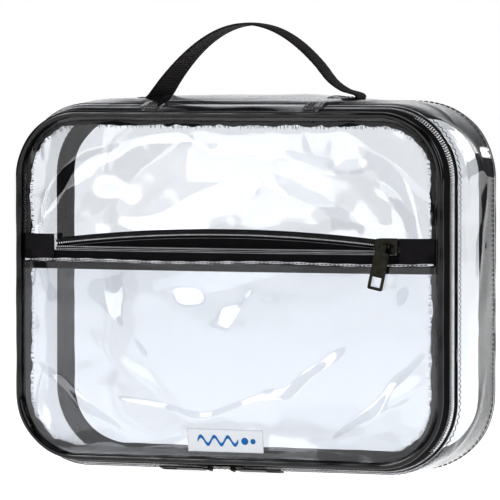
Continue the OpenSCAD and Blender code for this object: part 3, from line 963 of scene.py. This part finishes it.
def make_strap():
    """Webbing through the top sheet: it twists a little towards the left foot and is rolled at the right."""
    left = [(-FOOT_X - 4 * MM, 0, TOP_Z - 2.2 * MM)]
    rise = cad_high.z - TOP_Z - 2.0 * MM
    arch = [(FOOT_X * t, 0, TOP_Z + 1 * MM + rise * (1 - t * t)) for t in np.linspace(-0.97, 0.86, 15)]
    roll = [(FOOT_X + dx * MM, 0, TOP_Z + dz * MM) for dx, dz in STRAP_ROLL]
    path = smooth_path(left + arch + roll, 190)
    ahead = unit(np.gradient(path, axis=0))
    length = np.concatenate([[0], np.cumsum(np.linalg.norm(np.diff(path, axis=0), axis=1))])
    share = path[:, 0] / FOOT_X
    twist = np.radians(np.where(share < 0, 20 * np.abs(share) ** 2.2, -6 * np.abs(share.clip(-1, 0.9)) ** 2))
    across = np.stack([np.sin(twist), np.cos(twist), 0 * twist], axis=1)
    over = unit(np.cross(ahead, across))
    cols = 22
    v = np.linspace(-1, 1, cols)
    bead = STRAP_T / 2 * (0.86 + 0.14 * np.abs(v) ** 6) * np.sqrt(np.maximum(0.06, 1 - np.abs(v) ** 30))
    cup = 0.5 * MM * v**2
    rib = 1 + 0.10 * np.sin(length / RIB_PITCH * 2 * math.pi)
    wide = (path[:, None, :] + across[:, None, :] * (v * STRAP_W / 2)[None, :, None]
            - over[:, None, :] * cup[None, :, None])
    thick = over[:, None, :] * (bead[None, :] * rib[:, None])[..., None]
    strap = shell("handle_webbing", wide + thick, wide - thick, WEBBING,
                  length[:, None], v[None, :] * STRAP_W / 2)
    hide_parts("handle_strap")
    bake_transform(strap)


def make_anchor(name, side):
    """The webbing's flat end under the top sheet, with a sewn box and cross."""
    node = "handle_anchor_" + name
    low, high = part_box(node)
    reach = 13 * MM * side
    x = np.linspace(low.x + min(0, reach), high.x + max(0, reach), 30)[:, None]
    y = np.linspace(low.y, high.y, 16)[None, :]
    plane = grid(x, y, 0.0)
    lie = 0.35 * MM * wobble(plane, 70, 3.0 + side)
    top = high.z - 0.35 * MM + lie
    outer = grid(x, y, top)
    inner = grid(x, y, top - 1.1 * MM)
    own(shell(node + "_tape", outer, inner, WEBBING, x, y), "case", "webbing", node)
    x0, x1 = low.x + 3 * MM, high.x - 3 * MM
    y0, y1 = low.y + 3 * MM, high.y - 3 * MM
    z = TOP_Z + 0.1 * MM
    corners = np.array([(x0, y0, z), (x1, y0, z), (x1, y1, z), (x0, y1, z)])
    paths = []
    for i, j in ((0, 1), (1, 2), (2, 3), (3, 0), (0, 2), (3, 1)):
        a, b = corners[i], corners[j]
        count = int(np.linalg.norm(b - a) / (2.4 * MM))
        for k in range(count):
            start = a + (b - a) * k / count
            end = a + (b - a) * (k + 0.68) / count
            paths.append(stitch(start + crowned_top(start), end + crowned_top(end), (0, 0, 0.2 * MM)))
    own(strands(node + "_stitches", paths, 0.2 * MM, THREAD, 4), "case", "webbing")


def crowned_top(point):
    """How far the side band's top stands above its plain height at a point."""
    face = gusset_point(point[0] if point[0] >= 0 else RING.length + point[0], point[1])
    return np.array([0, 0, face[2] - TOP_Z])


make_anchor("left", -1)
make_anchor("right", 1)
make_strap()

# ---- Front pocket ----


def pocket_half_width(z):
    return half_width(z, 2 * POCKET_HALF, 2 * (MID_Z - POCKET_BOTTOM), POCKET_R)


def pocket_gap(x, z):
    """Space between the front panel and the pocket sheet."""
    half = pocket_half_width(z)
    across = np.maximum(0, 1 - np.abs(x / np.maximum(half, 1e-6)) ** 4)
    up = ((z - POCKET_BOTTOM) / (POCKET_TOP - POCKET_BOTTOM)).clip(0, 1)
    return 0.15 * MM + POCKET_DEPTH * across * (1 - (1 - up) ** 2.6)


def pocket_face(x, z, lift=0.0):
    """A point of the pocket sheet's front face."""
    x, z = np.broadcast_arrays(np.asarray(x, float), np.asarray(z, float))
    flat = grid(x, 0.0, z)
    up = ((z - POCKET_BOTTOM) / (POCKET_TOP - POCKET_BOTTOM)).clip(0, 1)
    free = (1 - np.abs(x / POCKET_HALF) ** 8).clip(0, 1) * np.minimum(1, up * 9) * (1 - up**10)
    crumple = folds(x, z, POCKET_FOLDS) + 1.0 * MM * wobble(flat, 20, 12.0) + 0.1 * MM * wobble(flat, 80, 4.0)
    y = PANEL_Y - pocket_gap(x, z) - 0.8 * MM - free * 1.15 * crumple - lift
    return grid(x, y, z)


def make_pocket_sheet():
    rows, cols = 90, 120
    z = POCKET_BOTTOM + (POCKET_TOP - POCKET_BOTTOM) * np.linspace(0, 1, rows + 1) ** 1.6
    x = pocket_half_width(z)[:, None] * np.linspace(-1, 1, cols + 1)[None, :]
    z = np.broadcast_to(z[:, None], x.shape)
    outer = pocket_face(x, z)
    sheet = shell("pocket_sheet", outer, SHEET_T, POCKET_FILM, x, z)
    own(sheet, "lid", "clear_sheet", "pocket_panel")
    shut_sheet(sheet)


make_pocket_sheet()


def mouth_y(x):
    """Depth of the pocket mouth's front row: it bows forward in the middle."""
    return MOUTH_END_Y - MOUTH_BOW * (1 - (x / POCKET_ZIP_HALF) ** 2)


def rear_z(x):
    """Height of the pocket mouth's rear row: it bows up in the middle."""
    return REAR_COIL_END_Z + REAR_RISE * (1 - (x / POCKET_ZIP_HALF) ** 2)


def mouth_row(s, a, b):
    return grid(s, mouth_y(s) - b, FRONT_COIL_Z + a)


def rear_row(s, a, b):
    return grid(s, REAR_COIL_Y - b, rear_z(s) + a)


def shut_mouth(obj):
    """Gives a piece of the pocket mouth's front row a mesh of its own."""
    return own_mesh(obj)


def shut_rear(obj):
    """Gives a piece of the pocket mouth's rear row a mesh of its own."""
    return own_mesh(obj)


def make_pocket_zip():
    ends = (-POCKET_ZIP_HALF, POCKET_ZIP_HALF)
    front = coil_wire("pocket_front_teeth", mouth_row, *ends, 1.0 * MM, 1, LIGHT_COIL)
    shut_mouth(own(front, "lid", "zip_coil", "pocket_front_coil"))
    rear = coil_wire("pocket_rear_teeth", rear_row, *ends, 1.0 * MM, -1, LIGHT_COIL, COIL_HALF_W + 0.2 * MM)
    shut_rear(own(rear, "lid", "zip_coil", "pocket_rear_coil"))

    x = steps(-POCKET_HALF + 2 * MM, POCKET_HALF - 2 * MM, 2 * MM)[:, None]
    z = np.linspace(front_tape_low.z, front_tape_high.z + 0.4 * MM, 14)[None, :]
    lie = 0.12 * MM * np.sin(x / (9 * MM)) + 0 * z
    past = ((np.abs(x) - POCKET_ZIP_HALF) / (POCKET_HALF - POCKET_ZIP_HALF)).clip(0, 1)
    line = mouth_y(x.clip(*ends)) * (1 - past) + (PANEL_Y - 1.0 * MM) * past
    outer = grid(x, line - 0.3 * MM + lie, z)
    tape = shell("pocket_front_ribbon", outer, 0.5 * MM, TAPE, x, z)
    shut_mouth(own(tape, "lid", "woven_tape", "pocket_front_tape"))

    x = steps(*ends, 2 * MM)[:, None]
    share = np.linspace(0, 1, 18)[None, :]
    top = rear_z(x) + COIL_HALF_W + 0.9 * MM
    z = rear_tape_low.z + (top - rear_tape_low.z) * share
    y = (rear_tape_low.y + 0.05 * MM) + 0 * z
    outer = grid(x, y, z)
    tape = shell("pocket_rear_ribbon", outer, 0.3 * MM, TAPE, x, z)
    shut_rear(own(tape, "lid", "woven_tape", "pocket_rear_tape"))

    def chain(row, a, b):
        return sewn_line(lambda s, rise: row(s, a, b + rise), 0.2 * MM)

    # The pocket zip's stitches, front and rear, are pale grey: painted highlight on the thread
    dots = stitch_row(chain(mouth_row, -1.1 * MM, 0.95 * MM), *ends, COIL_PITCH, 0.6)
    dots += stitch_row(chain(mouth_row, -0.1 * MM, 1.05 * MM), *ends, COIL_PITCH, 0.6)
    shut_mouth(own(strands("pocket_front_stitches", dots, 0.2 * MM, HIGHLIT_THREAD, 4), "lid", "zip_coil"))
    # Pale tooth tips: painted highlight on the black coil
    tip_highlights = tooth_tip_highlights("pocket_front_tip_highlights", mouth_row, *ends, (0.8 * MM, 1.7 * MM), 0.85 * MM, TIP_HIGHLIGHT)
    shut_mouth(own(tip_highlights, "lid", "zip_coil"))
    tip_highlights = tooth_tip_highlights("pocket_rear_tip_highlights", rear_row, *ends, (-1.7 * MM, -0.5 * MM), 0.85 * MM, TIP_HIGHLIGHT)
    shut_rear(own(tip_highlights, "lid", "zip_coil"))
    dots = stitch_row(chain(rear_row, -3.4 * MM, -1.9 * MM), *ends, COIL_PITCH, 0.5)
    shut_rear(own(strands("pocket_rear_stitches", dots, 0.14 * MM, HIGHLIT_THREAD, 4), "lid", "woven_tape"))


make_pocket_zip()


def make_hem():
    """The pocket sheet's folded top edge, whose pale grey is a painted highlight, and the stitches that hold
    it to the tape.
    """
    x = steps(-POCKET_HALF + 2 * MM, POCKET_HALF - 2 * MM, 1.5 * MM)[:, None]
    turn = np.linspace(0, 2 * math.pi, 12, endpoint=False)[None, :]
    tall = 0.7 * MM * (1 + 0.3 * np.sin(x / (2.6 * MM)))
    dip = 0.5 * MM * np.sin(x / (21 * MM))
    face = pocket_face(x[:, 0], POCKET_TOP - 0.4 * MM)[:, 1][:, None]
    y = face - 0.25 * MM + 0.5 * MM * np.cos(turn)
    z = POCKET_TOP - 0.6 * MM + tall * np.sin(turn) + dip
    loops = grid(x, y, z)
    hem = loft("pocket_hem", loops, FILM_EDGE_HIGHLIGHT, uv=grid(x, turn * MM))
    shut_sheet(own(hem, "lid", "clear_sheet"))

    def place(s, way_out=False):
        here = pocket_face(s, POCKET_TOP - 0.7 * MM, 0.75 * MM)
        here[..., 2] += 0.5 * MM * np.sin(s / (21 * MM))
        return np.broadcast_to([0, -0.28 * MM, 0], here.shape) if way_out else here

    dashes = stitch_row(place, -POCKET_HALF + 6 * MM, POCKET_HALF - 4 * MM, 2.8 * MM, 0.55)
    shut_sheet(own(strands("pocket_hem_stitches", dashes, 0.32 * MM, THREAD, 5), "lid", "woven_tape"))


make_hem()


def make_pocket_tab(name, side):
    """Woven tab over a pocket zip end, folded back to the panel's edge."""
    node = "pocket_zip_tab_" + name
    low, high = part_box(node)
    inner_x, outer_x = (high.x, low.x) if side < 0 else (low.x, high.x)
    share = np.linspace(0, 1, 30)[:, None]
    x = inner_x + (outer_x - inner_x) * share
    bend = 1 / (1 + np.exp(-(share - 0.62) * 9))
    y = low.y + 0.35 * MM + (high.y - low.y - 0.8 * MM) * bend
    z = np.linspace(low.z - 0.3 * MM, high.z, 20)[None, :]
    lie = 0.25 * MM * np.sin(z / (3.7 * MM) + share * 5)
    outer = grid(x, y + lie, z)
    weave = shell(node + "_weave", outer, 0.5 * MM, TAB_WEAVE, x, z)
    own(weave, "lid", "woven_tape", node)


make_pocket_tab("left", -1)
make_pocket_tab("right", 1)


def make_label():
    """A plain white sewn label with a small blue wave and dots, and no lettering."""
    low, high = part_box("label")

    def cover(name, x, z, lift, thick, material, closed=False):
        outer = pocket_face(x, z, lift)
        cloth = shell(name, outer, thick, material, x, z, closed)
        return shut_sheet(own(cloth, "lid", "label"))

    x = steps(low.x, high.x, 1 * MM)[:, None]
    z = steps(low.z, high.z, 1 * MM)[None, :]
    cloth = cover("label_cloth", x, z, 0.35 * MM, 0.3 * MM, LABEL_CLOTH)
    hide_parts("label")
    x = np.linspace(-19, 9, 72)[:, None] * MM
    middle = (low.z + high.z) / 2
    rise = 2.6 * MM * np.sin((x + 19 * MM) / (28 * MM) * 6 * math.pi)
    z = middle + rise + np.linspace(-1.1, 1.1, 5)[None, :] * MM
    cover("label_wave", x + 0 * z, z, 0.55 * MM, 0.15 * MM, LABEL_BLUE)
    for i in range(2):
        turn = np.linspace(0, 2 * math.pi, 24, endpoint=False)[:, None]
        radius = np.linspace(0.1, 1, 4)[None, :] * (2.3 - 0.6 * i) * MM
        px = 13.5 * MM + 5.6 * MM * i + radius * np.cos(turn)
        pz = middle + radius * np.sin(turn)
        cover(f"label_dot_{i + 1}", px, pz, 0.55 * MM, 0.15 * MM, LABEL_BLUE, closed=True)


make_label()

# ---- Sliders and pulls: the CAD shapes, softened at their edges ----

for metal_node in ("pocket_slider", "pocket_pull", "main_slider_left", "main_slider_right",
                   "main_pull_left", "main_pull_right"):
    soften = dress(metal_node, METAL).modifiers.new("soft_edges", "BEVEL")
    soften.width = 0.18 * MM
    soften.segments = 2
    soften.limit_method = "ANGLE"
    soften.angle_limit = math.radians(38)

# ---- Stage, light and camera ----


def make_stage():
    """A pale floor that glows as white as the background."""
    s = new_shader("pale_floor")
    surface = s.add("BsdfPrincipled")
    s.put(
        surface,
        Base_Color=s.ramp(s.noise(3, 2), 0.3, 0.8, (0.40, 0.40, 0.40), (0.42, 0.42, 0.42)),
        Roughness=0.9,
        Specular_IOR_Level=0.1,
        Emission_Color=(1, 1, 1, 1),
        Emission_Strength=0.93,
    )
    bpy.ops.mesh.primitive_plane_add(size=40, location=(0, 0, -0.55 * MM))
    floor = bpy.context.object
    floor.name = "floor"
    floor.data.materials.append(s.done(surface))


def make_world():
    """White to the eye; to everything else, a dark room with a white wall behind the case and to its left."""
    scene.world = bpy.data.worlds.new("studio")
    s = Shader(scene.world, "OutputWorld")
    towards = s.add("VectorMath", operation="DOT_PRODUCT")
    s.fill(towards.inputs, (s.where("Generated"), (-0.6, 0.8, 0.0)))
    glow = s.ramp(towards.outputs["Value"], 0.0, 0.62, (0.04, 0.04, 0.042), (0.13, 0.13, 0.133))
    wall = glow.node.color_ramp.elements.new(0.9)
    wall.color = (0.85, 0.85, 0.86, 1)
    room = s.put(s.add("Background"), Color=glow)
    shown = s.put(s.add("Background"), Color=(1, 1, 1, 1))
    s.done(s.mix(s.add("LightPath").outputs["Is Camera Ray"], room, shown))


def softbox(name, place, aim, width, height, power):
    lamp = bpy.data.lights.new(name, "AREA")
    lamp.shape = "RECTANGLE"
    lamp.size = width
    lamp.size_y = height
    lamp.energy = power
    obj = bpy.data.objects.new(name, lamp)
    obj.location = place
    obj.rotation_euler = (Vector(aim) - Vector(place)).to_track_quat("-Z", "Y").to_euler()
    scene.collection.objects.link(obj)


def make_camera():
    """A little to the right of the front and just above the case's middle, from far away."""
    distance = 3.05
    azimuth = math.radians(21)
    elevation = math.radians(2.3)
    aim = Vector((-0.0006, 0, 0.1424))
    back = Vector((math.sin(azimuth) * math.cos(elevation), -math.cos(azimuth) * math.cos(elevation),
                   math.sin(elevation)))
    camera = bpy.data.cameras.new("camera")
    camera.lens = 337.7
    camera.sensor_width = 36
    camera.clip_end = 50
    obj = bpy.data.objects.new("camera", camera)
    obj.location = aim + back * distance
    obj.rotation_euler = (-back).to_track_quat("-Z", "Y").to_euler()
    scene.collection.objects.link(obj)
    scene.camera = obj


make_stage()
make_world()
softbox("window", (-0.98, -2.3, 0.42), (0, 0, 0.12), 0.42, 0.6, 2.4)
softbox("key", (-1.3, -1.7, 1.5), (0, 0, 0.1), 0.9, 1.3, 26)
softbox("fill", (1.7, -1.2, 0.9), (0, 0, 0.12), 0.5, 1.4, 13)
softbox("top", (0.1, 0.2, 2.0), (0, 0, 0.1), 1.6, 1.0, 13)
softbox("rim", (0.9, 1.9, 0.8), (0, 0, 0.15), 0.8, 0.7, 5)
make_camera()
scene.view_settings.view_transform = "Standard"
scene.view_settings.gamma = 0.78
scene.cycles.transparent_max_bounces = 40
